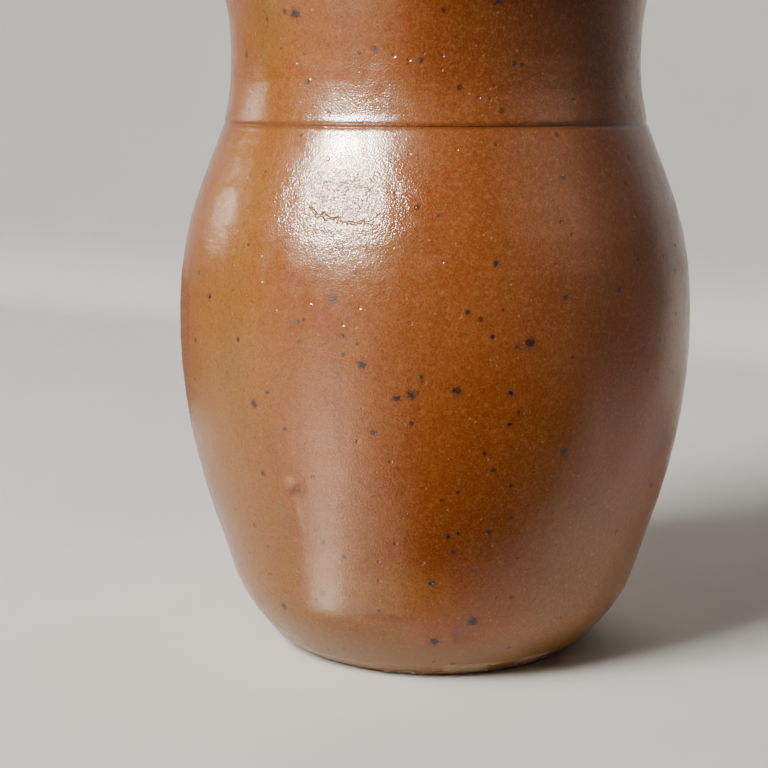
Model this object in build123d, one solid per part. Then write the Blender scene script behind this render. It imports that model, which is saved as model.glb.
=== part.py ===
"""Stoneware vase: a thrown, glazed jar with a wide flared neck.

The pot is built as a potter builds it: a beaten base slab, a thrown belly luted
onto it in a rebate, a neck luted onto the belly at an incised groove, and a rolled
lip. Two thin beds of slip lie in the luted joints. Glaze coats the outside, the
lip and the inside, and a few grains of kiln grit are fused to the foot.

Millimetres, +Z up. The origin is the centre of the resting face. Every profile is
a list of (radius, height) stations in the half-plane of the axis.
"""

import os
from math import cos, radians, sin, sqrt

from build123d import *

# ---- driving dimensions ----------------------------------------------------

GLAZE = 0.4             # thickness of the fired glaze, measured along the radius

FOOT_RADIUS = 44.6      # outer edge of the resting ring
FOOT_RING_WIDTH = 9.0   # width of the resting ring
FOOT_HOLLOW = 1.2       # depth of the slightly hollowed underside
BEVEL_RADIUS = 51.6     # top of the turned bevel above the foot
BEVEL_HEIGHT = 5.0
GLAZE_LINE = 1.4        # the glaze was wiped off below this height

FLOOR_RADIUS = 46.0     # raised middle of the slab, which centres the belly wall
FLOOR_HEIGHT = 8.5
BASE_SLIP = 0.5         # thickness of the slip bed between slab and belly

GROOVE_HEIGHT = 164.4   # lower lip of the groove, where the neck was luted on
GROOVE_WIDTH = 0.8
GROOVE_DEPTH = 0.8
SHOULDER_RADIUS = 65.0
SHOULDER_INNER = 58.0

NECK_TOP = 217.0        # where the neck wall ends under the rolled lip
LIP_CENTRE = 68.0       # radius of the middle of the lip's roll
LIP_CENTRE_HEIGHT = 220.9
LIP_ROLL = 4.7          # radius of the roll

GRAIN_RADIUS = 0.7      # kiln grit fused to the foot
GRAIN_CENTRE = 47.0
GRAIN_ANGLES = (-109, -104, -99, -96, -71, -18, 47, 122, 171, 214)

# ---- profiles of the clay, as (radius, height) ------------------------------

wall_foot = BEVEL_HEIGHT + BASE_SLIP
neck_foot = GROOVE_HEIGHT + GROOVE_WIDTH

BELLY_OUTSIDE = [
    (51.9, wall_foot),
    (57.4, 11.5),
    (65.5, 30.0),
    (74.5, 60.0),
    (79.6, 104.0),
    (75.5, 136.0),
    (68.4, 155.5),
    (SHOULDER_RADIUS, GROOVE_HEIGHT),
]
BELLY_INSIDE = [
    (FLOOR_RADIUS, FLOOR_HEIGHT),
    (52.5, 17.0),
    (59.0, 31.0),
    (67.4, 60.0),
    (72.4, 100.0),
    (68.6, 136.0),
    (61.4, 155.0),
    (SHOULDER_INNER, GROOVE_HEIGHT),
]


def lip_foot(roll, side):
    """Radius where a roll of this size meets the neck's top; side is 1 outside, -1 inside."""
    rise = LIP_CENTRE_HEIGHT - NECK_TOP
    return LIP_CENTRE + side * sqrt(roll**2 - rise**2)


NECK_OUTSIDE = [
    (SHOULDER_RADIUS, neck_foot),
    (63.5, 172.0),
    (62.6, 183.0),
    (63.0, 194.0),
    (64.6, 204.0),
    (lip_foot(LIP_ROLL, 1), NECK_TOP),
]
NECK_INSIDE = [
    (SHOULDER_INNER, neck_foot),
    (56.4, 174.0),
    (56.0, 185.0),
    (57.0, 197.0),
    (60.0, 208.0),
    (lip_foot(LIP_ROLL, -1), NECK_TOP),
]

# ---- helpers ------------------------------------------------------------------


def point(station):
    """A (radius, height) station as a point in the XZ plane."""
    radius, height = station
    return (radius, 0, height)


def curve(stations):
    """A smooth curve through the stations."""
    return Spline(*[point(station) for station in stations])


def line(*stations):
    """Straight runs through the stations."""
    return Polyline(*[point(station) for station in stations])


def moved_out(stations, amount):
    """The same stations at a larger radius, or a smaller one if amount is negative."""
    return [(radius + amount, height) for radius, height in stations]


def turned(*edges):
    """The solid made by turning a closed outline round the pot's axis."""
    return revolve(make_face(edges), Axis.Z, 360)


def lip_roll(roll):
    """The rounded top of the lip, from its inner foot over to its outer foot."""
    inner = (lip_foot(roll, -1), NECK_TOP)
    top = (LIP_CENTRE, LIP_CENTRE_HEIGHT + roll)
    outer = (lip_foot(roll, 1), NECK_TOP)
    return ThreePointArc(point(inner), point(top), point(outer))


# ---- clay ---------------------------------------------------------------------


def base_slab():
    """Beaten base with a hollowed underside, a bevelled foot and a raised middle."""
    ring_inside = FOOT_RADIUS - FOOT_RING_WIDTH
    return turned(
        line(
            (0, FOOT_HOLLOW),
            (ring_inside - FOOT_HOLLOW, FOOT_HOLLOW),
            (ring_inside, 0),
            (FOOT_RADIUS, 0),
            (BEVEL_RADIUS, BEVEL_HEIGHT),
            (FLOOR_RADIUS, BEVEL_HEIGHT),
            (FLOOR_RADIUS, FLOOR_HEIGHT),
            (0, FLOOR_HEIGHT),
            (0, FOOT_HOLLOW),
        )
    )


def base_joint_slip():
    """Bed of slip in the rebate between the slab and the belly wall."""
    return turned(
        line(
            (FLOOR_RADIUS, BEVEL_HEIGHT),
            (BEVEL_RADIUS, BEVEL_HEIGHT),
            BELLY_OUTSIDE[0],
            (FLOOR_RADIUS, wall_foot),
            (FLOOR_RADIUS, BEVEL_HEIGHT),
        )
    )


def belly_wall():
    """Thrown wall of the belly, from the slab's rebate up to the groove."""
    return turned(
        line((FLOOR_RADIUS, wall_foot), BELLY_OUTSIDE[0]),
        curve(BELLY_OUTSIDE),
        line(BELLY_OUTSIDE[-1], BELLY_INSIDE[-1]),
        curve(BELLY_INSIDE),
        line(BELLY_INSIDE[0], (FLOOR_RADIUS, wall_foot)),
    )


def neck_joint_slip():
    """Bed of slip under the neck; its outer edge is the floor of the groove."""
    groove_floor = SHOULDER_RADIUS - GROOVE_DEPTH
    return turned(
        line(
            (SHOULDER_INNER, GROOVE_HEIGHT),
            (groove_floor, GROOVE_HEIGHT),
            (groove_floor, neck_foot),
            (SHOULDER_INNER, neck_foot),
            (SHOULDER_INNER, GROOVE_HEIGHT),
        )
    )


def neck_wall():
    """Waisted neck that flares out under the lip."""
    return turned(
        line(NECK_INSIDE[0], NECK_OUTSIDE[0]),
        curve(NECK_OUTSIDE),
        line(NECK_OUTSIDE[-1], NECK_INSIDE[-1]),
        curve(NECK_INSIDE),
    )


def rim_coil():
    """Rolled lip on the top of the neck."""
    return turned(
        lip_roll(LIP_ROLL),
        line(NECK_OUTSIDE[-1], NECK_INSIDE[-1]),
    )


# ---- glaze --------------------------------------------------------------------


def belly_glaze():
    """Glaze from the wiped line on the foot's bevel up to the groove."""
    bevel_run = (BEVEL_RADIUS - FOOT_RADIUS) / BEVEL_HEIGHT
    wiped_radius = FOOT_RADIUS + bevel_run * GLAZE_LINE
    backing = [(wiped_radius, GLAZE_LINE), (BEVEL_RADIUS, BEVEL_HEIGHT), BELLY_OUTSIDE[0]]
    surface = moved_out(BELLY_OUTSIDE, GLAZE)
    return turned(
        line(*backing),
        curve(BELLY_OUTSIDE),
        line(BELLY_OUTSIDE[-1], surface[-1]),
        curve(surface),
        line(surface[0], *reversed(moved_out(backing[:-1], GLAZE)), backing[0]),
    )


def neck_glaze():
    """Glaze on the outside of the neck and over the lip."""
    roll = LIP_ROLL + GLAZE
    surface = moved_out(NECK_OUTSIDE[:-1], GLAZE) + [(lip_foot(roll, 1), NECK_TOP)]
    return turned(
        line(NECK_OUTSIDE[0], surface[0]),
        curve(surface),
        lip_roll(roll),
        line((lip_foot(roll, -1), NECK_TOP), NECK_INSIDE[-1]),
        lip_roll(LIP_ROLL),
        curve(NECK_OUTSIDE),
    )


def inner_glaze():
    """Glaze on the floor and the inside of the belly and the neck."""
    roll = LIP_ROLL + GLAZE
    floor_edge = (FLOOR_RADIUS - GLAZE / 2, FLOOR_HEIGHT + GLAZE)
    belly_surface = [floor_edge] + moved_out(BELLY_INSIDE[1:], -GLAZE)
    neck_surface = moved_out(NECK_INSIDE[:-1], -GLAZE) + [(lip_foot(roll, -1), NECK_TOP)]
    return turned(
        line((0, FLOOR_HEIGHT), BELLY_INSIDE[0]),
        curve(BELLY_INSIDE),
        line(BELLY_INSIDE[-1], NECK_INSIDE[0]),
        curve(NECK_INSIDE),
        line(NECK_INSIDE[-1], neck_surface[-1]),
        curve(neck_surface),
        line(neck_surface[0], belly_surface[-1]),
        curve(belly_surface),
        line(floor_edge, (0, FLOOR_HEIGHT + GLAZE), (0, FLOOR_HEIGHT)),
    )


# ---- kiln grit ------------------------------------------------------------------


def kiln_grit(slab):
    """Grains fused to the bare strip of the bevel, each shaped to the slab."""
    grains = []
    for angle in GRAIN_ANGLES:
        x = GRAIN_CENTRE * cos(radians(angle))
        y = GRAIN_CENTRE * sin(radians(angle))
        grains.append(Pos(x, y, GRAIN_RADIUS) * Sphere(GRAIN_RADIUS) - slab)
    return Compound(children=grains)


# ---- the vase -------------------------------------------------------------------


def main():
    """Build every sub-part and write each one to its own STEP file."""
    slab = base_slab()
    nodes = {
        "base_slab": slab,
        "base_joint_slip": base_joint_slip(),
        "belly_wall": belly_wall(),
        "neck_joint_slip": neck_joint_slip(),
        "neck_wall": neck_wall(),
        "rim_coil": rim_coil(),
        "belly_glaze": belly_glaze(),
        "neck_glaze": neck_glaze(),
        "inner_glaze": inner_glaze(),
        "kiln_grit": kiln_grit(slab),
    }
    os.makedirs("parts", exist_ok=True)
    for name, shape in nodes.items():
        export_step(shape, f"parts/{name}.step")


main()
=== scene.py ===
"""Looks of the stoneware vase: glaze, clay, throwing marks and kiln marks around the CAD frame.

Every clay or glaze piece is a turned skin whose outline is read from the CAD frame and
whose surface gets the same relief, so that nested skins stay apart. Metres, +Z up.
Angles round the pot are in degrees from +X; the side that is seen most is at -90.
"""

from math import cos, pi, radians, sin, sqrt

import bmesh
import bpy
import numpy as np
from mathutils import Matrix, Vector
from mathutils.bvhtree import BVHTree


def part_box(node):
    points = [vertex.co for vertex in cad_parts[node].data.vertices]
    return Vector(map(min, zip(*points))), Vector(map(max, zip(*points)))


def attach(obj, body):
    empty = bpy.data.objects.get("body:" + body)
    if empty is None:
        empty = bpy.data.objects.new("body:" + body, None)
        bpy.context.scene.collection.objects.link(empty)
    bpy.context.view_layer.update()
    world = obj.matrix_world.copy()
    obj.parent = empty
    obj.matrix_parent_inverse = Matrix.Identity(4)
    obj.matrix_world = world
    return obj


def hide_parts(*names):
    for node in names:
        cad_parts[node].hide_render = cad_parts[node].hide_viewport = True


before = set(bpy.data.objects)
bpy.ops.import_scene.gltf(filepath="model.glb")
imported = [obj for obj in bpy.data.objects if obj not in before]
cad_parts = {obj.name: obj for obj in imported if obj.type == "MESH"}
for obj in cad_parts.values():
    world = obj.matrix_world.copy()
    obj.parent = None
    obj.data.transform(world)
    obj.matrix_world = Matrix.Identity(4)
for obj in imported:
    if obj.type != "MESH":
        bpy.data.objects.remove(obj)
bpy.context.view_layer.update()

MM = 0.001
SEED = 11

# ---- the frame's own sizes ---------------------------------------------------------

trees = {name: BVHTree.FromObject(node, bpy.context.evaluated_depsgraph_get())
         for name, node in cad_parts.items()}


def low(node):
    """Lowest height of a CAD node."""
    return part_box(node)[0].z


def top(node):
    """Highest height of a CAD node."""
    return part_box(node)[1].z


def widest(node):
    """Largest radius of a CAD node."""
    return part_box(node)[1].x


def outer_radius(node, height):
    """Radius of a node's outside at a height, by a ray from outside towards the axis."""
    return trees[node].ray_cast(Vector((1, 0, height)), Vector((-1, 0, 0)))[0].x


def inner_radius(node, height):
    """Radius of a node's inside at a height, by a ray from the axis outwards."""
    return trees[node].ray_cast(Vector((0, 0, height)), Vector((1, 0, 0)))[0].x


SKIN = widest("belly_glaze") - widest("belly_wall")
wipe_height = low("belly_glaze")
groove_low = top("belly_glaze")
groove_high = low("neck_glaze")
neck_top = top("neck_wall")
floor_height = top("base_slab")
bevel_top = low("base_joint_slip")
groove_middle = (groove_low + groove_high) / 2

# ---- outlines, as arrays of (radius, height) ----------------------------------------

EPS = 0.02 * MM
CURVE_STEP = 0.25 * MM    # between the points of a smooth outline
LIP_PROBES = 30           # heights at which the lip's inside is felt for
LIP_POINTS = 90
BELLY_STATIONS = 13       # heights at which an outline is read from the CAD
NECK_STATIONS = 9
INNER_BELLY_STATIONS = 14
OUTLINE_SAMPLES = 2000    # for spacing the rows along an outline


def smooth_curve(stations):
    """A natural cubic spline through the stations, by chord length, as close-set points."""
    points = np.array(stations, float)
    t = np.concatenate([[0], np.cumsum(np.hypot(*np.diff(points, axis=0).T))])
    h = np.diff(t)
    n = len(t)
    lhs = np.eye(n)
    rhs = np.zeros((n, 2))
    for i in range(1, n - 1):
        lhs[i, i - 1:i + 2] = h[i - 1], 2 * (h[i - 1] + h[i]), h[i]
        rhs[i] = 6 * ((points[i + 1] - points[i]) / h[i] - (points[i] - points[i - 1]) / h[i - 1])
    bend = np.linalg.solve(lhs, rhs)
    u = np.arange(0, t[-1], CURVE_STEP)
    k = np.clip(np.searchsorted(t, u, "right") - 1, 0, n - 2)
    a = ((t[k + 1] - u) / h[k])[:, None]
    b = ((u - t[k]) / h[k])[:, None]
    hk = h[k][:, None]
    inner = ((a**3 - a) * bend[k] + (b**3 - b) * bend[k + 1]) * hk**2 / 6
    return np.vstack([a * points[k] + b * points[k + 1] + inner, points[-1:]])


def read_outline(radius_of, node, start, end, count):
    """A smooth outline of a node between two heights, read at a few of them."""
    heights = np.linspace(start, end, count)
    return smooth_curve([(radius_of(node, float(height)), height) for height in heights])


def lip_arc():
    """The rolled lip's glazed section, from its outer foot over the top to its inner foot."""
    heights = np.linspace(neck_top + EPS, top("rim_coil") - EPS, LIP_PROBES)
    inside = min(inner_radius("rim_coil", float(height)) for height in heights)
    roll = (widest("rim_coil") - inside) / 2
    middle = widest("rim_coil") - roll
    middle_height = top("rim_coil") - roll
    roll = roll + SKIN
    foot = np.arcsin((neck_top - middle_height) / roll)
    turn = np.linspace(foot, pi - foot, LIP_POINTS)
    return np.stack([middle + roll * np.cos(turn), middle_height + roll * np.sin(turn)], axis=1)


bevel_line = np.array([(outer_radius("belly_glaze", wipe_height + EPS), wipe_height),
                       (outer_radius("belly_glaze", bevel_top), bevel_top)])
belly_line = read_outline(outer_radius, "belly_glaze", top("base_joint_slip"), groove_low - EPS,
                          BELLY_STATIONS)
neck_line = read_outline(outer_radius, "neck_glaze", groove_high + EPS, neck_top - EPS, NECK_STATIONS)
lip_line = lip_arc()
inner_neck_line = read_outline(inner_radius, "inner_glaze", neck_top - EPS, groove_high, NECK_STATIONS)
inner_belly_line = read_outline(inner_radius, "inner_glaze", groove_low, floor_height + 2 * SKIN,
                                INNER_BELLY_STATIONS)

# ---- places of the marks, and rows along an outline ------------------------------------

# Angle in degrees from +X, and height in mm.
SCAR = (-112, 144)        # the dent under the glaze on the shoulder
BLISTER = (-124, 63)
STAMP = (-82, 17)

# Where the rows lie closer: height, how much closer, and over what half-height.
CROWDED = (
    (groove_middle, 3.0, 2.2 * MM),
    (0.0, 1.0, 6 * MM),
    (SCAR[1] * MM, 0.7, 9 * MM),
    (BLISTER[1] * MM, 1.2, 4 * MM),
)


def crowding(z):
    """How many times closer the rows lie at a height: near the groove, the foot and the marks."""
    total = 1
    for middle, extra, reach in CROWDED:
        total = total + extra * np.exp(-((z - middle) / reach)**2)
    return total


def rows(outline, spacing):
    """Rows along an outline: radius, height and the two parts of the normal.

    The normal is to the right of the outline's direction: outwards where it runs up the
    outside, and into the pot where it runs down the inside.
    """
    outline = np.asarray(outline, float)
    gaps = np.hypot(*np.diff(outline, axis=0).T)
    repeated = gaps < EPS / 1000
    outline = outline[np.concatenate([[True], ~repeated])]
    ends = np.concatenate([[0], np.cumsum(np.hypot(*np.diff(outline, axis=0).T))])
    along = np.linspace(0, ends[-1], OUTLINE_SAMPLES)
    r = np.interp(along, ends, outline[:, 0])
    z = np.interp(along, ends, outline[:, 1])
    dense = crowding(z)
    weight = np.concatenate([[0], np.cumsum((dense[1:] + dense[:-1]) / 2 * np.diff(along))])
    count = max(2, round(weight[-1] / spacing) + 1)
    at = np.interp(np.linspace(0, weight[-1], count), weight, along)
    r, z = np.interp(at, along, r), np.interp(at, along, z)
    dr, dz = np.gradient(r, at), np.gradient(z, at)
    length = np.hypot(dr, dz)
    return np.stack([r, z, dz / length, -dr / length], axis=1)


# ---- relief of the surface -----------------------------------------------------------------

# Half-sizes, depths and heights of the relief are in mm.
SCAR_SIZE = (13, 7.5)
SCAR_TURN = -3            # degrees
SCAR_DEPTH = 0.22
BLISTER_SIZE = (3.6, 3.4)
BLISTER_RISE = 0.62
STAMP_SIZE = (5.2, 3.0)
STAMP_TURN = -8
STAMP_DEPTH = 0.42
GROOVE_ROUND = 0.24       # how far the glaze rounds over into the groove
FAINT_LINE = 1.7          # a second, faint line lies this far below the groove
FINGER_RING = 11.5        # pitch of the rings that the fingers left inside
MEAN_RADIUS = 75          # for turning a length into a number of waves round the pot


def spot(theta, z, place, size, turn=0.0):
    """Distance from a place on the pot, in units of its half-sizes (mm), turned by some degrees."""
    angle, height = place
    across = (theta - radians(angle) + pi) % (2 * pi) - pi
    radius = np.interp(z, belly_line[:, 1], belly_line[:, 0])
    u = across * radius / MM
    v = z / MM - height
    c, s = cos(radians(turn)), sin(radians(turn))
    return (u * c + v * s) / size[0], (v * c - u * s) / size[1]


def hump(x):
    """A smooth bump: 1 at 0, 0 from 1 on."""
    x = np.clip(np.abs(x), 0, 1)
    return (1 - x * x)**2


def waves(theta, z, seed, count, longest, shortest):
    """Gentle random undulation, periodic round the pot, about -1 to 1."""
    rng = np.random.default_rng(seed)
    total = 0
    for _ in range(count):
        length = longest * (shortest / longest)**rng.random()
        lean = rng.random() * 2 * pi
        turns = round(cos(lean) * 2 * pi * MEAN_RADIUS / length)
        rise = sin(lean) * 2 * pi * z / MM / length
        total = total + np.sin(turns * theta + rise + rng.random() * 2 * pi)
    return total / sqrt(count)


def throwing(theta, z, pitch, lean, phase):
    """Rings left by the fingers, climbing round the pot like a thread."""
    return np.sin(2 * pi * z / MM / pitch + lean * theta + phase)


def scar(theta, z):
    """A shallow oval dent with a wrinkled floor."""
    u, v = spot(theta, z, SCAR, SCAR_SIZE, SCAR_TURN)
    far = np.hypot(u, v)
    wrinkle = 0.10 * waves(theta, z, SEED + 1, 14, 6, 3)
    rim = 0.10 * hump((far - 1.0) / 0.35)
    return (wrinkle - SCAR_DEPTH) * hump(far) + rim


def blister(theta, z):
    """A round blister of glaze with a faint run below it."""
    u, v = spot(theta, z, BLISTER, BLISTER_SIZE)
    far = np.hypot(u, v)
    moat = 0.08 * hump((far - 1.1) / 0.4)
    run = hump(u / 0.5) * hump((v + 2.3) / 2.4)
    return BLISTER_RISE * hump(far) - moat + 0.12 * run


def blank_stamp(theta, z):
    """A plain oval impression, pushed in with a raised edge."""
    u, v = spot(theta, z, STAMP, STAMP_SIZE, STAMP_TURN)
    far = np.hypot(u, v)
    floor = -STAMP_DEPTH * np.clip((1 - far) / 0.22, 0, 1)
    return floor + 0.10 * hump((far - 1.05) / 0.25)


def oval(theta):
    """How far the whole pot is out of round, outside and inside alike."""
    return 0.22 * np.sin(2 * theta + 0.9)


def groove_round(theta, z):
    """The glaze's edges rounding over into the groove, a little unevenly round the pot."""
    uneven = 0.85 + 0.15 * np.sin(theta + 2.4)
    return -GROOVE_ROUND * hump((z - groove_middle) / (1.6 * MM)) * uneven


def outside_relief(theta, z):
    """Relief of the outside in metres: wobble, throwing rings, turning and kiln marks."""
    wobble = oval(theta) + 0.10 * np.sin(3 * theta + 2.1)
    rings = 0.032 * throwing(theta, z, 9.3, 1, 0.4) + 0.014 * throwing(theta, z, 4.7, -2, 1.9)
    soft = 0.07 * waves(theta, z, SEED + 2, 16, 60, 22)
    fine = 0.018 * waves(theta, z, SEED + 3, 30, 11, 5)
    groove = groove_round(theta, z)
    faint = -0.10 * hump((z - (groove_low - FAINT_LINE * MM)) / (0.7 * MM))
    turned_foot = 0.05 * throwing(theta, z, 1.3, 1, 0.0) * hump((z - 3 * MM) / (4.5 * MM))
    marks = scar(theta, z) + blister(theta, z) + blank_stamp(theta, z)
    return (wobble + rings + soft + fine + groove + faint + turned_foot + marks) * MM


def inside_relief(theta, z):
    """Relief of the inside in metres: deeper rings, where the fingers pulled the wall up."""
    rings = 0.38 * throwing(theta, z, FINGER_RING, 1, 0.0) + 0.12 * throwing(theta, z, 5.3, -1, 2.0)
    soft = 0.10 * waves(theta, z, SEED + 4, 12, 50, 20)
    return (oval(theta) + rings + soft) * MM


# ---- meshes ----------------------------------------------------------------------------

EDGE_TURNS = (pi / 5, 2 * pi / 5, 3 * pi / 5, 4 * pi / 5)   # rows round a skin's edge
BACK_SPACING = 6          # rows on a skin's hidden back lie this many times wider apart


def surface(line_rows, around, relief=None, depth=0.0, shift=0.0):
    """Grid of points on a turned surface: sunk by depth, and slid by shift along the outline."""
    r, z, nr, nz = (line_rows[:, i:i + 1] for i in range(4))
    theta = np.linspace(-pi, pi, around, endpoint=False)[None, :]
    rise = (relief(theta, z) if relief else 0.0) - depth
    radius = r + nr * rise - nz * shift
    height = z + nz * rise + nr * shift + 0 * theta
    return np.stack([radius * np.cos(theta), radius * np.sin(theta), height], axis=2)


def rounded_edge(line_rows, around, relief, thickness, side):
    """Half-round edge rows of a skin, at the end of its outline (side 1) or its start (-1)."""
    end = line_rows[-1:] if side == 1 else line_rows[:1]
    order = EDGE_TURNS if side == 1 else EDGE_TURNS[::-1]
    half = thickness / 2
    return [surface(end, around, relief, half * (1 - cos(a)), side * half * sin(a)) for a in order]


def linked(name, data):
    """A new object with that mesh, light or camera, in the scene."""
    made = bpy.data.objects.new(name, data)
    bpy.context.scene.collection.objects.link(made)
    return made


def mesh_piece(name, grids, poles=False):
    """A closed mesh from stacked rings: a loop of rings, or capped by a pole at both ends."""
    points = np.concatenate(grids, axis=0)
    ring_count, around, _ = points.shape
    index = np.arange(ring_count * around).reshape(ring_count, around)
    nxt = np.roll(index, -1, axis=1)
    follow = index[1:] if poles else np.roll(index, -1, axis=0)
    nxt_follow = np.roll(follow, -1, axis=1)
    here = index[:-1] if poles else index
    quads = np.stack([here, nxt[:len(here)], nxt_follow, follow], axis=2).reshape(-1, 4)
    verts = points.reshape(-1, 3)
    faces = quads.tolist()
    if poles:
        first, last = len(verts), len(verts) + 1
        verts = np.vstack([verts, points[0].mean(axis=0), points[-1].mean(axis=0)])
        faces += [[first, b, a] for a, b in zip(index[0].tolist(), nxt[0].tolist())]
        faces += [[last, a, b] for a, b in zip(index[-1].tolist(), nxt[-1].tolist())]
    mesh = bpy.data.meshes.new(name)
    mesh.from_pydata(verts.tolist(), [], faces)
    mesh.update()
    mesh.polygons.foreach_set("use_smooth", [True] * len(mesh.polygons))
    return linked(name, mesh)


def skin(name, outline, spacing, around, relief, thickness):
    """A closed skin of even thickness along an outline, with half-round edges."""
    front = rows(outline, spacing)
    back = rows(outline, BACK_SPACING * spacing)
    grids = [surface(front, around, relief)]
    grids += rounded_edge(front, around, relief, thickness, 1)
    grids.append(surface(back, around, relief, thickness)[::-1])
    grids += rounded_edge(front, around, relief, thickness, -1)
    return mesh_piece(name, grids)


def wall(name, outside, inside, spacing, around):
    """A clay wall behind the glaze: an outside and an inside outline joined at both ends."""
    front = rows(outside, spacing)
    back = rows(inside, spacing)
    return mesh_piece(name, [surface(front, around, outside_relief, SKIN + EPS),
                             surface(back, around, inside_relief, SKIN + EPS)])


# ---- node helpers ------------------------------------------------------------------------


class Nodes:
    """Short calls for building a material's node tree."""

    def __init__(self, name):
        self.material = bpy.data.materials.new(name)
        self.material.use_nodes = True
        self.tree = self.material.node_tree
        self.shader = self.tree.nodes["Principled BSDF"]
        self.position = self.add("ShaderNodeTexCoord").outputs["Object"]

    def add(self, kind, inputs=(), **settings):
        """A node with its settings, and its inputs given in order or by name as (socket, value)."""
        node = self.tree.nodes.new(kind)
        for key, value in settings.items():
            setattr(node, key, value)
        for socket, value in inputs:
            if isinstance(value, bpy.types.NodeSocket):
                self.tree.links.new(value, node.inputs[socket])
            else:
                node.inputs[socket].default_value = value
        return node

    def math(self, operation, a, b=0.0, c=0.0):
        """A Math node's result."""
        return self.add("ShaderNodeMath", [(0, a), (1, b), (2, c)], operation=operation).outputs[0]

    def scaled(self, x, y, z):
        """The position with each axis scaled."""
        inputs = [("Vector", self.position), ("Scale", (x, y, z))]
        return self.add("ShaderNodeMapping", inputs).outputs[0]

    def noise(self, size, detail=2.0, rough=0.5, stretch=1.0):
        """Noise of that grain size in metres, stretched up the pot by a factor."""
        vector = self.scaled(1 / size, 1 / size, 1 / (size * stretch))
        return self.add("ShaderNodeTexNoise",
                        [("Vector", vector), ("Scale", 1.0), ("Detail", detail),
                         ("Roughness", rough)]).outputs[0]

    def ramp(self, value, start, end, low_out=0.0, high_out=1.0, shape="SMOOTHSTEP"):
        """A value mapped from one range to another, clamped."""
        return self.add("ShaderNodeMapRange",
                        [("Value", value), ("From Min", start), ("From Max", end),
                         ("To Min", low_out), ("To Max", high_out)],
                        interpolation_type=shape).outputs[0]

    def mix(self, factor, a, b, blend="MIX"):
        """Two colours mixed."""
        node = self.add("ShaderNodeMix", [("Factor", factor)], data_type="RGBA", blend_type=blend)
        for socket, value in ((node.inputs[6], a), (node.inputs[7], b)):
            if isinstance(value, bpy.types.NodeSocket):
                self.tree.links.new(value, socket)
            else:
                socket.default_value = (*value, 1.0)
        return node.outputs[2]

    def angle_height(self):
        """Angle round the pot in degrees from the side that is seen most, and height in mm."""
        split = self.add("ShaderNodeSeparateXYZ", [("Vector", self.position)])
        front = self.math("MULTIPLY", split.outputs["Y"], -1.0)
        turn = self.math("ARCTAN2", split.outputs["X"], front)
        angle = self.math("MULTIPLY", turn, 180 / pi)
        return angle, self.math("MULTIPLY", split.outputs["Z"], 1 / MM)

    def link(self, value, socket):
        """Links a value to one of the shader's sockets."""
        self.tree.links.new(value, self.shader.inputs[socket])

    def far(self, u, v):
        """The length of (u, v)."""
        return self.math("SQRT", self.math("MULTIPLY_ADD", u, u, self.math("MULTIPLY", v, v)))

    def bump(self, height, distance, strength=1.0):
        """A bump node's normal."""
        inputs = [("Height", height), ("Distance", distance), ("Strength", strength)]
        return self.add("ShaderNodeBump", inputs).outputs[0]

    def emit(self, colour, strength):
        """Makes the shader glow and nothing else."""
        self.shader.inputs["Base Color"].default_value = (0, 0, 0, 1)
        self.shader.inputs["Emission Color"].default_value = (*colour, 1)
        if isinstance(strength, bpy.types.NodeSocket):
            self.link(strength, "Emission Strength")
        else:
            self.shader.inputs["Emission Strength"].default_value = strength


# ---- glaze ---------------------------------------------------------------------------------

# Colours of the glaze, in linear light.
BURNT = (0.350, 0.080, 0.011)
TAN = (0.390, 0.120, 0.030)
OCHRE = (0.330, 0.128, 0.016)
RUST = (0.230, 0.045, 0.007)
PALE = (0.50, 0.215, 0.055)
POOL = (0.17, 0.048, 0.012)
IRON = (0.020, 0.012, 0.011)
HALO = (0.15, 0.058, 0.032)
BROWN = (0.205, 0.047, 0.009)
SAND = (0.43, 0.180, 0.036)
OLIVE = (0.30, 0.130, 0.036)
FOOT_TONE = (0.205, 0.102, 0.028)
# Painted glint: small golden dots that stand for the sparkle of the orange peel in the light.
PAINTED_GLINT_DOT = (0.66, 0.36, 0.12)

# Places where the glaze's colour changes: colour, degrees to the right of the side that is
# seen most, height in mm, half-width in degrees, half-height in mm, strength.
ZONES = (
    (SAND, -52, 80, 24, 150, 0.75),
    (BURNT, 8, 70, 30, 55, 0.9),
    (RUST, 4, 60, 9, 44, 0.30),
    (RUST, 14, 52, 5, 30, 0.25),
    (BROWN, 34, 172, 42, 72, 0.80),
    (BROWN, 14, 192, 30, 26, 0.55),
    (OCHRE, -47, 98, 6, 30, 0.70),
    (OCHRE, -52, 192, 11, 16, 0.75),
    (OCHRE, -37, 45, 6, 14, 0.50),
    (OCHRE, 22, 75, 7, 30, 0.30),
    (OCHRE, -66, 80, 6, 30, 0.40),
    (SAND, -12, 31, 16, 9, 0.50),
    (OLIVE, 52, 28, 46, 38, 0.85),
    (OLIVE, -45, 12, 50, 22, 0.85),
    (RUST, 12, 45, 24, 24, 0.30),
)

# Small marks with an exact place, given the same way: the blister, its run, a dark crescent of painted
# shade at the blister's lower right, and burnt streaks.
MARKS = (
    (RUST, -33.6, 62.5, 4.6, 4.6, 1.0),
    (OLIVE, -38, 50, 2.2, 13, 0.60),
    (OCHRE, -35.2, 63.5, 2.4, 2.6, 0.90),
    (RUST, -14, 23, 9, 2.0, 0.60),
    # Painted shade: the dark crescent on the blister's lower right, away from the light.
    (IRON, -31.6, 61.5, 1.1, 2.6, 0.40),
    (RUST, 8, 17, 4.8, 3.2, 0.40),
)

DULL_PATCH = (None, -34, 63, 3.8, 4.2, 0.45)      # the blister is dull, whatever its colour

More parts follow.
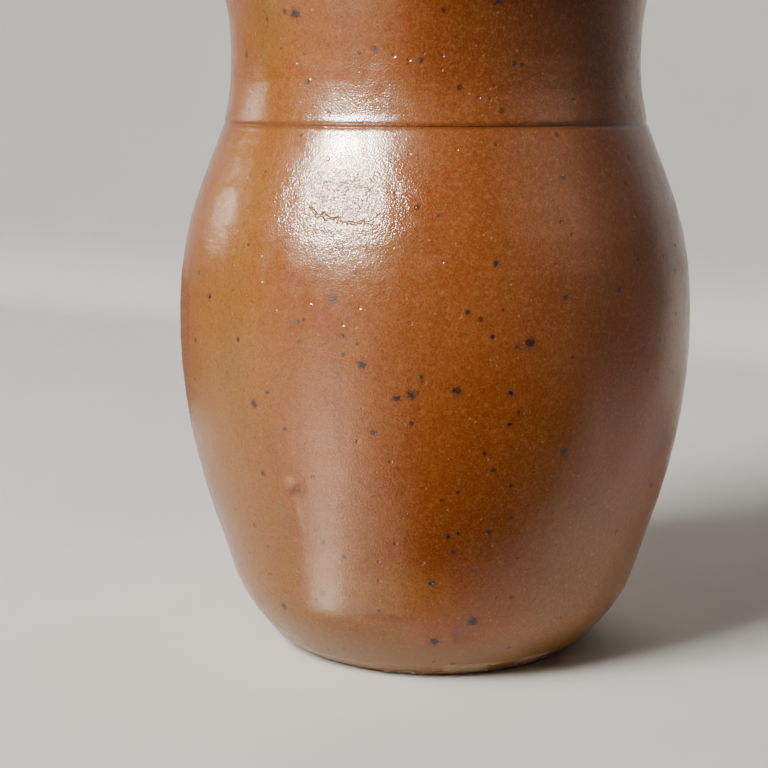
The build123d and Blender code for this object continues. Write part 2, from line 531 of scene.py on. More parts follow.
# Main iron specks by radius in mm: degrees to the right of the side that is seen most, and
# height in mm.
SPECKS = (
    (1.55, ((18, 106), (9, 22), (-1, 15), (-40, 196))),
    (1.2, ((-22, 118), (-16, 100), (27, 74), (-42, 86), (-6, 92), (3, 93), (-31, 29), (-47, 21),
           (14, 199))),
    (0.9, ((-2, 35), (-22, 131), (-25, 128), (11, 128), (26, 118), (-57, 115), (-9, 91), (-14, 81),
           (11, 51), (-28, 46), (-17, 186), (-63, 185), (29, 151), (14, 92))),
    (0.7, ((-30, 111), (-20, 108), (5, 115), (10, 108), (15, 105), (-4, 97), (-6, 84), (14, 83), (9, 75),
           (11, 70), (15, 65), (16, 55), (4, 51), (2, 50), (3, 45), (-23, 42), (-34, 80), (-42, 65),
           (-38, 90), (40, 119), (47, 127), (-36, 177), (-5, 183), (19, 182), (64, 166), (-46, 104))),
)


def zone_mask(g, angle, height, zone):
    """Soft-edged patch of the pot, 0 to 1."""
    _, centre, middle, half_width, half_height, strength = zone
    u = g.math("MULTIPLY_ADD", angle, 1 / half_width, -centre / half_width)
    v = g.math("MULTIPLY_ADD", height, 1 / half_height, -middle / half_height)
    return g.ramp(g.far(u, v), 0.25, 1.15, strength, 0.0)


def distance_to(g, place):
    """Distance from the shaded point to a fixed place."""
    node = g.add("ShaderNodeVectorMath", [(0, g.position), (1, place)], operation="DISTANCE")
    return node.outputs["Value"]


def nearer(g, a, b):
    """The smaller of two distances; the first may be missing."""
    return b if a is None else g.math("MINIMUM", a, b)


def speck_distance(g):
    """Distance to the nearest main speck in units of its radius, with an uneven edge."""
    line = np.vstack([belly_line, neck_line])
    nearest = None
    for speck_radius, places in SPECKS:
        gap = None
        for right, height in places:
            angle = radians(right - 90)
            r = float(np.interp(height * MM, line[:, 1], line[:, 0]))
            gap = nearer(g, gap, distance_to(g, (r * cos(angle), r * sin(angle), height * MM)))
        nearest = nearer(g, nearest, g.math("MULTIPLY", gap, 1 / (speck_radius * MM)))
    return g.math("ADD", nearest, g.ramp(g.noise(0.8 * MM, 2.0, 0.7), 0.3, 0.7, -0.42, 0.42))


def small_specks(g, spacing, share, offset):
    """Random specks by Voronoi cells, a share of the cells: 1 in the middle of a speck, 0 outside."""
    inputs = [("Vector", g.position), ("Location", (offset,) * 3), ("Scale", (1 / spacing,) * 3)]
    vector = g.add("ShaderNodeMapping", inputs).outputs[0]
    cells = g.add("ShaderNodeTexVoronoi", [("Vector", vector), ("Scale", 1.0), ("Randomness", 1.0)])
    pick = g.add("ShaderNodeSeparateColor", [("Color", cells.outputs["Color"])])
    chosen = g.math("LESS_THAN", pick.outputs[0], share)
    speck_radius = g.ramp(pick.outputs[1], 0.0, 1.0, 0.07, 0.20, "LINEAR")
    gap = g.math("DIVIDE", cells.outputs["Distance"], speck_radius)
    return g.math("MULTIPLY", g.ramp(gap, 0.5, 1.1, 1.0, 0.0), chosen)


def dotted(g, colour, dot, strength, spacing, share, offset):
    """A colour with small random specks of another colour in it."""
    return g.mix(g.math("MULTIPLY", small_specks(g, spacing, share, offset), strength), colour, dot)


def fired_ground(g, angle, height):
    """The glaze's ground colour: clouds, streaks, placed zones and marks, mottle and grain."""
    clouds = g.noise(34 * MM, 3.0, 0.55, 1.3)
    streaks = g.noise(9 * MM, 3.0, 0.6, 7.0)
    mottle = g.noise(1.5 * MM, 2.0, 0.65)
    grain = g.noise(0.6 * MM, 1.0, 0.6)
    colour = g.mix(g.ramp(clouds, 0.34, 0.66), TAN, BURNT)
    colour = g.mix(g.ramp(streaks, 0.52, 0.78, 0.0, 0.35), colour, OCHRE)
    colour = g.mix(g.ramp(streaks, 0.46, 0.28, 0.0, 0.35), colour, RUST)
    loose_angle = g.math("ADD", angle, g.ramp(streaks, 0.2, 0.8, -7.0, 7.0, "LINEAR"))
    loose_height = g.math("ADD", height, g.ramp(clouds, 0.2, 0.8, -14.0, 14.0, "LINEAR"))
    for zone in ZONES:
        colour = g.mix(zone_mask(g, loose_angle, loose_height, zone), colour, zone[0])
    for mark in MARKS:
        colour = g.mix(zone_mask(g, angle, height, mark), colour, mark[0])
    colour = g.mix(g.ramp(mottle, 0.46, 0.75, 0.0, 0.30), colour, PALE)
    colour = g.mix(g.ramp(mottle, 0.48, 0.25, 0.0, 0.35), colour, RUST)
    colour = g.mix(g.ramp(grain, 0.48, 0.75, 0.0, 0.32), colour, PALE)
    colour = g.mix(g.ramp(grain, 0.50, 0.25, 0.0, 0.55), colour, RUST)
    foot = g.math("ADD", height, g.ramp(mottle, 0.3, 0.7, -1.5, 1.5))
    return g.mix(g.ramp(foot, 19.0, 8.0, 0.0, 0.72), colour, FOOT_TONE)


def glaze_colour(g, angle, height, speck_gap):
    """The glaze's colour: the ground, iron specks with halos, golden dots of painted glint and the
    groove's edges.
    """
    colour = fired_ground(g, angle, height)
    colour = g.mix(g.ramp(speck_gap, 2.0, 0.8, 0.0, 0.45), colour, HALO)
    colour = g.mix(g.ramp(speck_gap, 1.15, 0.5, 0.0, 0.90), colour, IRON)
    colour = dotted(g, colour, IRON, 0.65, 5.5 * MM, 0.40, 0.3)
    colour = dotted(g, colour, HALO, 0.60, 2.6 * MM, 0.30, 4.7)
    # Painted glints: small golden dots for the orange peel's sparkle.
    colour = dotted(g, colour, PAINTED_GLINT_DOT, 0.60, 1.9 * MM, 0.28, 6.1)
    gap = g.math("ABSOLUTE", g.math("SUBTRACT", height, groove_middle / MM))
    return g.mix(g.ramp(gap, 1.3, 0.6, 0.0, 0.45), colour, POOL)


# The two curled lines in the dent: start across, height, bend, lean and half-length, in mm.
LOWER_LINE = (0.0, -5.0, 0.019, -0.12, 12.0)
UPPER_LINE = (1.0, 5.3, -0.013, -0.05, 11.0)
WRINKLED_PATCH = (15, 8)  # its half-width and half-height in mm
SHOULDER_RADIUS = 73      # mm, where the dent is


def thin_line(g, u, v, shape):
    """A thin bent line drawn in the dent: 1 on the line, 0 away from it."""
    start, rise, bend, lean, half_length = shape
    along = g.math("SUBTRACT", u, start)
    arch = g.math("MULTIPLY_ADD", g.math("MULTIPLY", along, along), bend, rise)
    bow = g.math("MULTIPLY_ADD", along, lean, arch)
    gap = g.math("ABSOLUTE", g.math("SUBTRACT", v, bow))
    reach = g.ramp(g.math("ABSOLUTE", along), half_length, half_length * 0.7)
    return g.math("MULTIPLY", g.ramp(gap, 0.85, 0.1), reach)


def dent_marks(g, angle, height):
    """The two curled lines, 1 on a line, and how far out a point is in the wrinkled patch."""
    scar_angle, scar_height = SCAR
    per_degree = radians(1) * SHOULDER_RADIUS
    half_width, half_height = WRINKLED_PATCH
    wobble = g.ramp(g.noise(3.0 * MM, 2.0, 0.6), 0.25, 0.75, -1.4, 1.4, "LINEAR")
    u = g.math("MULTIPLY_ADD", angle, per_degree, -(scar_angle + 90) * per_degree)
    v = g.math("ADD", g.math("SUBTRACT", height, scar_height), wobble)
    lower = thin_line(g, u, v, LOWER_LINE)
    upper = thin_line(g, u, v, UPPER_LINE)
    far = g.far(g.math("MULTIPLY", u, 1 / half_width), g.math("MULTIPLY", v, 1 / half_height))
    return lower, upper, far


PEEL_DEPTH = 0.20 * MM


def orange_peel(g, strength, marks):
    """The glaze's skin: fine peel, pinholes and turning lines, coarser at the dent."""
    lower, upper, far = marks
    coarse = g.ramp(far, 2.2, 0.7, 0.44, 1.0)
    wrinkled = g.ramp(far, 1.2, 0.4, 0.0, 2.0)
    peel = g.noise(0.50 * MM, 1.0, 0.6)
    swell = g.noise(2.2 * MM, 1.0, 0.5)
    wrinkle = g.noise(1.8 * MM, 2.0, 0.6, 0.6)
    inputs = [("Vector", g.scaled(25.0, 25.0, 900.0)), ("Scale", 1.0), ("Detail", 1.0)]
    lines = g.add("ShaderNodeTexNoise", inputs).outputs[0]
    height = g.math("MULTIPLY_ADD", swell, 0.45, g.math("MULTIPLY", peel, 0.90))
    height = g.math("MULTIPLY", height, coarse)
    height = g.math("MULTIPLY_ADD", lines, 0.10, height)
    height = g.math("MULTIPLY_ADD", wrinkle, wrinkled, height)
    height = g.math("MULTIPLY_ADD", small_specks(g, 4.6 * MM, 0.4, 9.1), -0.6, height)
    height = g.math("MULTIPLY_ADD", lower, -1.6, height)
    height = g.math("MULTIPLY_ADD", upper, -0.4, height)
    return g.bump(height, PEEL_DEPTH, strength)


def glaze_material(name, strength=1.0, pooled=0.0):
    """Glossy salt-fired glaze over iron-rich stoneware; pooled glaze is thicker and darker."""
    g = Nodes(name)
    angle, height = g.angle_height()
    speck_gap = speck_distance(g)
    colour = glaze_colour(g, angle, height, speck_gap)
    marks = dent_marks(g, angle, height)
    colour = g.mix(g.math("MULTIPLY", marks[0], 0.30), colour, POOL)
    colour = g.mix(g.math("MULTIPLY", marks[1], 0.15), colour, POOL)
    g.link(g.mix(pooled, colour, POOL), "Base Color")
    rough = g.ramp(g.noise(7 * MM, 2.0, 0.6), 0.3, 0.7, 0.19, 0.27)
    rough = g.math("ADD", rough, zone_mask(g, angle, height, DULL_PATCH))
    g.link(g.math("ADD", rough, g.ramp(speck_gap, 1.0, 0.4, 0.0, 0.06)), "Roughness")
    g.shader.inputs["IOR"].default_value = 1.52
    g.link(orange_peel(g, strength, marks), "Normal")
    return g.material


# ---- clay, slip and grit ---------------------------------------------------------------------

# Pairs of colours that clouds of firing or a noise mix, then single ones, in linear light.
WALL_CLAY = ((0.40, 0.25, 0.14), (0.30, 0.17, 0.09))
SLAB_CLAY = ((0.42, 0.27, 0.15), (0.31, 0.18, 0.095))
SLIP = ((0.28, 0.15, 0.08), (0.36, 0.20, 0.11))
GRIT = ((0.55, 0.46, 0.35), (0.80, 0.75, 0.66))
SAND_GRAIN = (0.62, 0.50, 0.36)
DARK_GRAIN = (0.06, 0.04, 0.03)
WIRE_MARK = (0.20, 0.11, 0.06)


def sanded(g, clouds, tones, sand, strength):
    """Bare clay's colour: two tones in clouds, with pale sand showing at the surface."""
    colour = g.mix(g.ramp(clouds, 0.3, 0.7), *tones)
    return g.mix(g.ramp(sand, 0.5, 0.75, 0.0, strength), colour, SAND_GRAIN)


def bare_clay(g, colour, sand, relief, depth):
    """Finishes a clay's shader: dark grains, matt, with a sandy relief."""
    g.link(g.mix(small_specks(g, 2.6 * MM, 0.3, 2.2), colour, DARK_GRAIN), "Base Color")
    g.link(g.ramp(sand, 0.2, 0.8, 0.72, 0.92), "Roughness")
    g.link(g.bump(relief, depth, 0.9), "Normal")
    return g.material


def clay_material():
    """Bare fired stoneware: matt, buff to grey-brown, with sand and dark grains."""
    g = Nodes("bare_stoneware")
    sand = g.noise(0.7 * MM, 2.0, 0.6)
    colour = sanded(g, g.noise(14 * MM, 4.0, 0.6), WALL_CLAY, sand, 0.6)
    return bare_clay(g, colour, sand, sand, 0.12 * MM)


def wire_arcs(g):
    """Curved drag marks, as a wire leaves them that is pulled through under the pot."""
    inputs = [("Vector", g.position), ("Location", (0.07, 0.11, 0))]
    aside = g.add("ShaderNodeMapping", inputs).outputs[0]
    return g.add("ShaderNodeTexWave",
                 [("Vector", aside), ("Scale", 110.0), ("Distortion", 3.5), ("Detail", 2.0),
                  ("Detail Scale", 0.6)],
                 wave_type="RINGS", rings_direction="Z").outputs["Fac"]


def underside_material():
    """The slab's bare clay, with the curved drag marks of the cutting wire."""
    g = Nodes("slab_stoneware")
    sand = g.noise(0.7 * MM, 2.0, 0.6)
    arcs = wire_arcs(g)
    colour = sanded(g, g.noise(16 * MM, 3.0, 0.6), SLAB_CLAY, sand, 0.55)
    colour = g.mix(g.ramp(arcs, 0.25, 0.0, 0.0, 0.3), colour, WIRE_MARK)
    relief = g.math("MULTIPLY_ADD", arcs, 0.7, sand)
    return bare_clay(g, colour, sand, relief, 0.16 * MM)


def matt_material(name, blend, tones, rough, relief, depth, strength):
    """A matt material of two tones, with one roughness and a noise as its relief."""
    g = Nodes(name)
    g.link(g.mix(blend(g), *tones), "Base Color")
    g.shader.inputs["Roughness"].default_value = rough
    g.link(g.bump(g.noise(relief), depth, strength), "Normal")
    return g.material


def slip_material():
    """Fired slip, a little redder and smoother than the clay."""
    return matt_material("fired_slip", lambda g: g.noise(2.5 * MM), SLIP, 0.8,
                         1.0 * MM, 0.08 * MM, 0.8)


def grit_material():
    """Pale kiln grit."""
    return matt_material("kiln_grit_pale", lambda g: g.ramp(g.noise(0.5 * MM), 0.35, 0.65), GRIT,
                         0.85, 0.25 * MM, 0.1 * MM, 1.0)


# ---- pieces ------------------------------------------------------------------------------------

AROUND = 600              # points round the glazed outside
INSIDE_AROUND = 360
WALL_AROUND = 240
SLAB_AROUND = 320
BELLY_SPACING = 1.6 * MM  # between the rows of a piece, where nothing crowds them
NECK_SPACING = 1.0 * MM
LINER_SPACING = 1.9 * MM
HIDDEN_SPACING = 6 * MM   # on the liner's back
WALL_SPACING = 4 * MM
HOLE = 1.5 * MM           # radius of the innermost ring round a pole
CORNER = 0.8 * MM         # between the liner's wall and its floor
FLOOR_PITCH = 8.0 * MM    # of the spiral on the inside floor
FLOOR_RISE = 0.25 * MM


def finish_piece(piece, material, slot, *nodes):
    """Gives a piece its material, hangs it on the root body and hides the CAD nodes that it stands for;
    the slot is not used.
    """
    piece.data.materials.append(material)
    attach(piece, "root")
    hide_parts(*nodes)


def glaze_pieces():
    """The outside coat on the belly, and the coat on the neck and lip."""
    coat = glaze_material("speckled_glaze")
    belly_outline = np.vstack([bevel_line, belly_line])
    neck_outline = np.vstack([neck_line, lip_line])
    belly = skin("belly_glaze_coat", belly_outline, BELLY_SPACING, AROUND, outside_relief, SKIN)
    neck = skin("neck_glaze_coat", neck_outline, NECK_SPACING, AROUND, outside_relief, SKIN)
    finish_piece(belly, coat, "outer_glaze", "belly_glaze")
    finish_piece(neck, coat, "outer_glaze", "neck_glaze")


def liner_floor(line_rows, depth=0.0):
    """The inside floor as rings, with the spiral left by the fingers, flat in the middle."""
    grid = surface(line_rows, INSIDE_AROUND, None, depth)
    radius = np.hypot(grid[..., 0], grid[..., 1])
    theta = np.arctan2(grid[..., 1], grid[..., 0])
    spiral = np.sin(2 * pi * radius / FLOOR_PITCH - theta)
    middle = 1 - hump(radius / (1.5 * FLOOR_PITCH))
    grid[..., 2] += FLOOR_RISE * spiral * middle
    return grid


def liner_piece():
    """Glaze on the inside, down the wall and across the floor, as one closed skin."""
    line = np.vstack([inner_neck_line, inner_belly_line])
    corner = (line[-1][0] - CORNER, floor_height + SKIN)
    floor_rows = rows([corner, (HOLE, floor_height + SKIN)], LINER_SPACING)
    front = rows(line, LINER_SPACING)
    back = rows(line, HIDDEN_SPACING)
    grids = [liner_floor(floor_rows[::-1]), surface(front[::-1], INSIDE_AROUND, inside_relief)]
    grids += rounded_edge(front, INSIDE_AROUND, inside_relief, SKIN, -1)[::-1]
    grids += [surface(back, INSIDE_AROUND, inside_relief, SKIN), liner_floor(floor_rows, SKIN)]
    piece = mesh_piece("inner_glaze_liner", grids, poles=True)
    finish_piece(piece, glaze_material("liner_glaze", 0.8), "liner_glaze", "inner_glaze")


def groove_piece():
    """Slip in the groove, with glaze pooled over it in a hollow between the two coats."""
    lap, floor_drop, hollow, half_width = 0.3 * MM, 0.02 * MM, 0.06 * MM, 0.75 * MM
    heights = np.linspace(groove_low - lap, groove_high + lap, 13)
    shoulder = outer_radius("belly_glaze", groove_low - EPS)
    radii = shoulder - floor_drop - hollow * hump((heights - groove_middle) / half_width)
    inside = inner_radius("neck_joint_slip", groove_middle)
    front = rows(np.stack([radii, heights], axis=1), 0.4 * MM)
    back = rows([(inside, groove_high), (inside, groove_low)], 1.6 * MM)
    grids = [surface(front, AROUND, outside_relief), surface(back, AROUND, inside_relief, SKIN + EPS)]
    piece = mesh_piece("groove_slip_ring", grids)
    finish_piece(piece, glaze_material("pooled_glaze", 0.6, 0.15), "clay_slip", "neck_joint_slip")


def clay_pieces():
    """Clay walls and lip behind the glaze."""
    clay = clay_material()
    above_slip = belly_line[belly_line[:, 1] > top("base_joint_slip")]
    belly = wall("belly_wall_clay", above_slip, inner_belly_line, WALL_SPACING, WALL_AROUND)
    neck = wall("neck_wall_clay", neck_line, inner_neck_line, WALL_SPACING, WALL_AROUND)
    lip = wall("rim_coil_clay", lip_line, lip_line[:2][::-1], 1.5 * MM, WALL_AROUND)
    finish_piece(belly, clay, "stoneware_clay", "belly_wall")
    finish_piece(neck, clay, "stoneware_clay", "neck_wall")
    finish_piece(lip, clay, "stoneware_clay", "rim_coil")


def under_height(radius):
    """Height of the slab's underside at a radius, by a ray from below."""
    return trees["base_slab"].ray_cast(Vector((radius, 0, -1)), Vector((0, 0, 1)))[0].z


def slab_relief(theta, z):
    """Turning lines on the slab's bevel, fading out at the resting ring and the rebate."""
    bevel = hump((z - 0.55 * bevel_top) / (0.45 * bevel_top))
    lines = 0.06 * throwing(theta, z, 0.9, 1, 0.0)
    soft = 0.05 * waves(theta, z, SEED + 5, 12, 20, 6)
    return (lines + soft) * bevel * MM


def slab_piece():
    """Base slab: hollowed underside, resting ring, bevel and raised middle."""
    foot = outer_radius("base_slab", EPS)
    radii = np.linspace(HOLE, foot - EPS, 120)
    under = np.array([(radius, under_height(float(radius))) for radius in radii])
    bevel = [(outer_radius("base_slab", float(height)), height)
             for height in np.linspace(0.2 * MM, bevel_top - EPS, 12)]
    middle = outer_radius("base_slab", floor_height - EPS)
    raised = [(middle, bevel_top), (middle, floor_height), (HOLE, floor_height)]
    grids = [surface(rows(np.vstack([under, bevel]), 0.9 * MM), SLAB_AROUND, slab_relief),
             surface(rows(raised, 3 * MM), SLAB_AROUND)]
    piece = mesh_piece("base_slab_clay", grids, poles=True)
    finish_piece(piece, underside_material(), "stoneware_clay", "base_slab")


def grain_places():
    """Middles of the loose grains of the CAD's kiln grit."""
    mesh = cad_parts["kiln_grit"].data
    grit = bmesh.new()
    grit.from_mesh(mesh)
    left = set(grit.verts)
    places = []
    while left:
        group, edge = set(), [left.pop()]
        while edge:
            vert = edge.pop()
            group.add(vert)
            fresh = {e.other_vert(vert) for e in vert.link_edges} & left
            left -= fresh
            edge += fresh
        in_order = sorted(group, key=lambda vert: vert.index)
        places.append(sum((vert.co for vert in in_order), Vector()) / len(group))
    grit.free()
    return sorted(places, key=lambda place: (round(place.x, 5), round(place.y, 5)))


GRAINS_PER_PLACE = 4


def fused_place(place, grain_radius, rng):
    """A spot near a CAD grain, on the slab's bevel, for a grain of that radius."""
    slide = Vector((rng.normal(), rng.normal(), 0)) * 0.7 * MM
    centre = place + slide
    centre.z = max(grain_radius, place.z + rng.uniform(-0.3, 0.5) * MM)
    flat = Vector((centre.x, centre.y, 0))
    reach = outer_radius("base_slab", centre.z) + 0.2 * grain_radius
    return centre + flat.normalized() * (reach - flat.length)


def grit_piece():
    """Clusters of sharp little grains fused to the foot where the CAD has its grains."""
    rng = np.random.default_rng(SEED + 6)
    grit = bmesh.new()
    for place in grain_places():
        for _ in range(GRAINS_PER_PLACE):
            radius = rng.uniform(0.16, 0.42) * MM
            centre = fused_place(place, radius, rng)
            ball = bmesh.ops.create_icosphere(grit, subdivisions=2, radius=radius)
            for vert in ball["verts"]:
                x, y, _ = vert.co
                facet = 1 + 0.30 * sin(5.1 * x / radius + centre.x / MM) * cos(4.3 * y / radius)
                vert.co = centre + vert.co * facet * rng.uniform(0.86, 1.10)
    mesh = bpy.data.meshes.new("kiln_grit_grains")
    grit.to_mesh(mesh)
    grit.free()
    finish_piece(linked("kiln_grit_grains", mesh), grit_material(), "kiln_grit", "kiln_grit")


def hidden_joint():
    """The slip bed between slab and belly stays as the CAD has it, in fired slip."""
    slip = slip_material()
    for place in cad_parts["base_joint_slip"].material_slots:
        place.material = slip


# ---- stage, light and camera ----------------------------------------------------------------------

CAMERA_PLACE = (-0.0159, -0.570, 0.1783)
CAMERA_PITCH = 9.62       # degrees below level
LENS = 84.8               # mm
SENSOR = 36               # mm

SHELF_TURN = -29.7        # degrees; the shelf's edge and the wall run at this angle to the view
WALL_DISTANCE = 0.627
WALL_HEIGHT = 2.2
COVE = 0.06               # radius of the curve where the floor meets the wall
COVE_STEPS = 12
EDGE_DISTANCE = 0.077     # from the pot's axis to the front edge of the shelf
STAGE_REACH = 3.0
DARK_FLOOR = -0.003       # height of the dark floor beyond the shelf, as reflections show it

DAYLIGHT = (1.0, 0.985, 0.96)
WARM = (1.0, 0.88, 0.74)
ROOM_LIGHT = (0.95, 0.98, 1.0, 1)
ROOM_STRENGTH = 0.05
DARK_PAINT = (0.02, 0.015, 0.012, 1)
FLOOR_TONE = (0.86, 0.845, 0.80)
# Painted shade: the wall's tone is darker than the floor's because less light reaches the wall.
SHADED_WALL_TONE = (0.60, 0.59, 0.565)

# Painted shade: a dark wedge from the shelf's edge to the right, standing for the unlit room in the
# glaze's reflections, and an upright card at the right.
FRONT_CARD = (
    (-0.01, -0.083, 0.0005),
    (0.10, -0.102, 0.0005),
    (1.2, -0.352, 0.0005),
    (1.2, -0.772, 0.0005),
)
SIDE_CARD = ((0.42, -1.2, 0), (0.42, 0.20, 0), (0.42, 0.20, 1.0), (0.42, -1.2, 1.0))

# Azimuths of lights and glows are in degrees to the right of the camera's side of the pot.
# Lights: name, azimuth, elevation, distance, (width, height), radiance, seen in the gloss alone.
LIGHTS = (
    ("key_window", -50, 37, 2.2, (0.90, 0.90), 30, False),
    ("window_glint", -50, 34, 1.7, (0.44, 0.28), 700, True),
    ("window_haze", -38, 36, 1.7, (1.0, 0.7), 1.3, True),
    ("side_glint", -118, 12, 1.8, (0.045, 0.17), 130, True),
    ("far_side_glint", -146, 8, 1.8, (0.08, 0.36), 12, True),
)
AIM_HEIGHT = 0.12         # the lights face the axis at this height

# Lit floor beyond the shelf's edge: name, from azimuth, to azimuth, height, radiance, reach.
FLOOR_GLOWS = (
    ("glow_fringe", -12, -27, -0.002, 0.65, 2.0),
    ("glow_floor", -27, -104, -0.002, 1.25, 2.0),
    ("glow_strip", -38, -53, -0.0017, 2.4, 2.0),
    ("glow_near", -38, -50, -0.0014, 5.5, 0.15),
    ("glow_edge", -38, -50, -0.001, 9.0, 0.025),
)
# Lit upright arcs: name, from azimuth, to azimuth, radiance, distance, height.
WALL_GLOWS = (
    ("glow_room", -30, -80, 0.9, 2.2, 0.7),
    ("dim_left", -112, -165, 0.20, 0.35, 0.1),
)
GLOW_STEPS = 13


def sweep_material():
    """Matt paint of the floor and the wall; the wall is darker as painted shade, where less light
    reaches it; clear when seen from behind.
    """
    g = Nodes("pale_sweep")
    height = g.add("ShaderNodeSeparateXYZ", [("Vector", g.position)]).outputs["Z"]
    # Painted shade: the wall is painted darker than the floor, above the cove.
    colour = g.mix(g.ramp(height, 0.0, 0.07), FLOOR_TONE, SHADED_WALL_TONE)
    tint = g.ramp(g.noise(0.12, 3.0), 0.3, 0.7, 0.965, 1.0)
    shade = g.add("ShaderNodeCombineColor", [(0, tint), (1, tint), (2, tint)]).outputs[0]
    g.link(g.mix(1.0, colour, shade, "MULTIPLY"), "Base Color")
    g.shader.inputs["Roughness"].default_value = 0.6
    g.shader.inputs["Specular IOR Level"].default_value = 0.0
    clear = g.add("ShaderNodeBsdfTransparent").outputs[0]
    behind = g.add("ShaderNodeNewGeometry").outputs["Backfacing"]
    both = g.add("ShaderNodeMixShader", [(0, behind), (1, g.shader.outputs[0]), (2, clear)])
    g.tree.links.new(both.outputs[0], g.tree.nodes["Material Output"].inputs["Surface"])
    return g.material


def stage_mesh(name, verts, faces, material):
    """A flat-faced piece of the stage."""
    mesh = bpy.data.meshes.new(name)
    mesh.from_pydata([tuple(vert) for vert in verts], [], faces)
    mesh.materials.append(material)
    piece = linked(name, mesh)
    return piece


def across(profile):
    """Corners and faces of a long strip along the shelf, from its (depth, height) profile."""
    turn = radians(SHELF_TURN)
    along = Vector((cos(turn), sin(turn), 0))
    away = Vector((-sin(turn), cos(turn), 0))
    verts = []
    for depth, z in profile:
        middle = away * depth + Vector((0, 0, z))
        verts += [middle - along * STAGE_REACH, middle + along * STAGE_REACH]
    return verts, [(2 * i, 2 * i + 1, 2 * i + 3, 2 * i + 2) for i in range(len(profile) - 1)]


def stage_pieces():
    """A pale floor and a pale wall that meet in a soft cove; the floor goes on in front."""
    paint = sweep_material()
    start = WALL_DISTANCE - COVE
    profile = [(-EDGE_DISTANCE, 0.0), (start, 0.0)]
    for turn in np.linspace(0.1, pi / 2, COVE_STEPS):
        profile.append((start + COVE * sin(turn), COVE - COVE * cos(turn)))
    profile.append((WALL_DISTANCE, WALL_HEIGHT))
    sweep = stage_mesh("studio_sweep", *across(profile), paint)
    sweep.data.polygons.foreach_set("use_smooth", [True] * len(sweep.data.polygons))
    strip = across([(-STAGE_REACH, 0.0), (-EDGE_DISTANCE, 0.0)])
    front = stage_mesh("studio_floor_front", *strip, paint)
    front.visible_glossy = False
    front.visible_diffuse = False


def direction(azimuth, elevation=0.0):
    """Unit direction from the pot; azimuth in degrees to the right of the camera's side."""
    a, e = radians(azimuth), radians(elevation)
    return Vector((sin(a) * cos(e), -cos(a) * cos(e), sin(e)))


def area_light(name, azimuth, elevation, distance, sides, radiance, glossy):
    """A rectangular light aimed at the belly, lighting either the gloss or everything else."""
    data = bpy.data.lights.new(name, "AREA")
    data.shape = "RECTANGLE"
    data.size, data.size_y = sides
    data.energy = radiance * pi * sides[0] * sides[1]
    data.color = WARM if glossy else DAYLIGHT
    light = linked(name, data)
    towards = direction(azimuth, elevation)
    light.location = Vector((0, 0, AIM_HEIGHT)) + towards * distance
    light.rotation_euler = towards.to_track_quat("Z", "Y").to_euler()
    light.visible_glossy = glossy
    light.visible_diffuse = not glossy


def lights():
    """A window to the left, its reflections, the reflections of a side window, and a dim room."""
    for light in LIGHTS:
        area_light(*light)
    world = bpy.data.worlds.new("dim_room")
    world.use_nodes = True
    background = world.node_tree.nodes["Background"]
    background.inputs["Color"].default_value = ROOM_LIGHT
    background.inputs["Strength"].default_value = ROOM_STRENGTH
    bpy.context.scene.world = world


def shelf_edge(azimuth):
    """Distance from the axis to the shelf's front edge in a direction."""
    return EDGE_DISTANCE / cos(radians(azimuth - SHELF_TURN))


def reflection_only(card):
    """Leaves a card visible in the glaze's reflections alone."""
    card.visible_camera = False
    card.visible_diffuse = False
    card.visible_shadow = False
    card.visible_transmission = False
    card.visible_volume_scatter = False


def glow_card(name, start, end, radiance, edges):
    """A bright card between two azimuths; edges gives its two (distance, height) at an azimuth."""
    g = Nodes(name)
    g.emit(WARM, radiance)
    verts, faces = [], []
    for i, azimuth in enumerate(np.linspace(start, end, GLOW_STEPS)):
        for distance, height in edges(float(azimuth)):
            verts.append(direction(float(azimuth)) * distance + Vector((0, 0, height)))
        if i:
            faces.append((2 * i - 2, 2 * i - 1, 2 * i + 1, 2 * i))
    reflection_only(stage_mesh(name, verts, faces, g.material))


def glow_cards():
    """The light that falls in the dark room on the left, on its floor and its far side."""
    for name, start, end, height, radiance, reach in FLOOR_GLOWS:
        glow_card(name, start, end, radiance,
                  lambda azimuth: ((shelf_edge(azimuth), height), (shelf_edge(azimuth) + reach, height)))
    for name, start, end, radiance, distance, height in WALL_GLOWS:
        glow_card(name, start, end, radiance, lambda azimuth: ((distance, 0.0), (distance, height)))


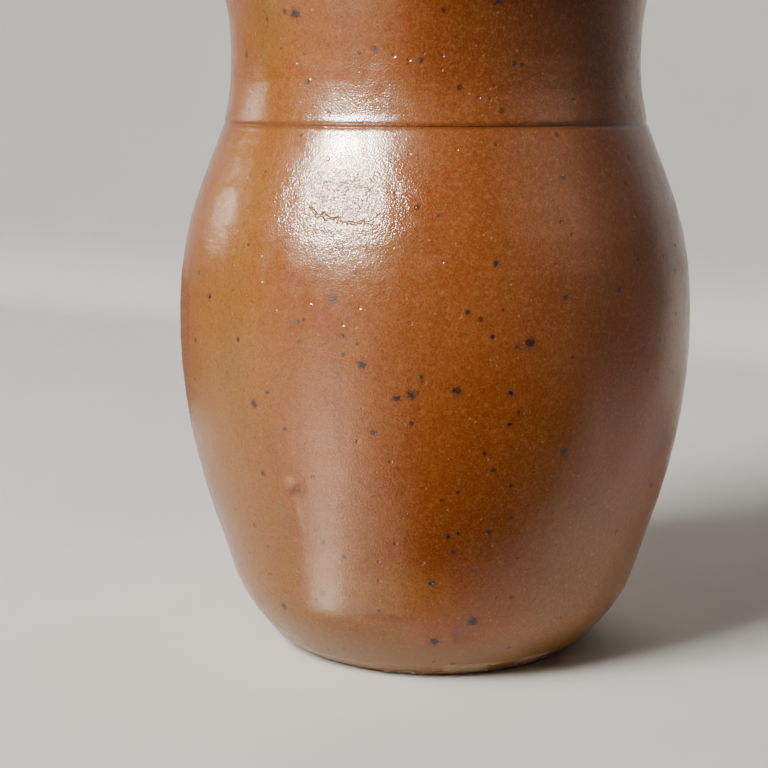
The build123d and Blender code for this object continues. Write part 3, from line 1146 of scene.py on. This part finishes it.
def dark_paint():
    """Nearly black matt paint for the cards of painted shade that stand for the unlit room."""
    g = Nodes("dark_card")
    g.shader.inputs["Base Color"].default_value = DARK_PAINT
    g.shader.inputs["Roughness"].default_value = 0.9
    g.shader.inputs["Specular IOR Level"].default_value = 0.0
    return g.material


def dim_wall():
    """A dim glow, stronger near the floor and towards the back."""
    g = Nodes("dim_side_wall")
    place = g.add("ShaderNodeSeparateXYZ", [("Vector", g.position)])
    low_part = g.ramp(place.outputs["Z"], 0.0, 0.15, 0.15, 0.0)
    far_part = g.ramp(place.outputs["Y"], -0.15, 0.18, 0.03, 0.24)
    g.emit(DAYLIGHT, g.math("ADD", low_part, far_part))
    return g.material


def reflection_cards():
    """Painted shade of the dark room beyond the shelf's edge, lit on the left, and a dim wall at the
    right.
    """
    dark = dark_paint()
    strip = across([(-STAGE_REACH, DARK_FLOOR), (-EDGE_DISTANCE, DARK_FLOOR)])
    # Painted shade: a dark sheet beyond the shelf's edge stands for the unlit room.
    floor = stage_mesh("dark_floor_card", *strip, dark)
    reflection_only(floor)
    floor.visible_diffuse = True
    glow_cards()
    # Painted shade: a dark wedge that is seen only in reflections.
    reflection_only(stage_mesh("dark_front_card", FRONT_CARD, [(0, 1, 2, 3)], dark))
    # Painted shade: an upright dark card at the right that takes away bounce light.
    shade = stage_mesh("dark_side_card", SIDE_CARD, [(0, 1, 2, 3)], dark)
    reflection_only(shade)
    shade.visible_diffuse = True
    shade.visible_glossy = False
    reflection_only(stage_mesh("dim_side_card", SIDE_CARD, [(0, 1, 2, 3)], dim_wall()))


def camera():
    """The camera: a little above the belly and to the left of the axis, looking slightly down."""
    data = bpy.data.cameras.new("camera")
    data.sensor_width = SENSOR
    data.lens = LENS
    view = linked("camera", data)
    view.location = CAMERA_PLACE
    view.rotation_euler = (radians(90 - CAMERA_PITCH), 0, 0)
    bpy.context.scene.camera = view


glaze_pieces()
liner_piece()
groove_piece()
clay_pieces()
slab_piece()
grit_piece()
hidden_joint()
stage_pieces()
reflection_cards()
lights()
camera()
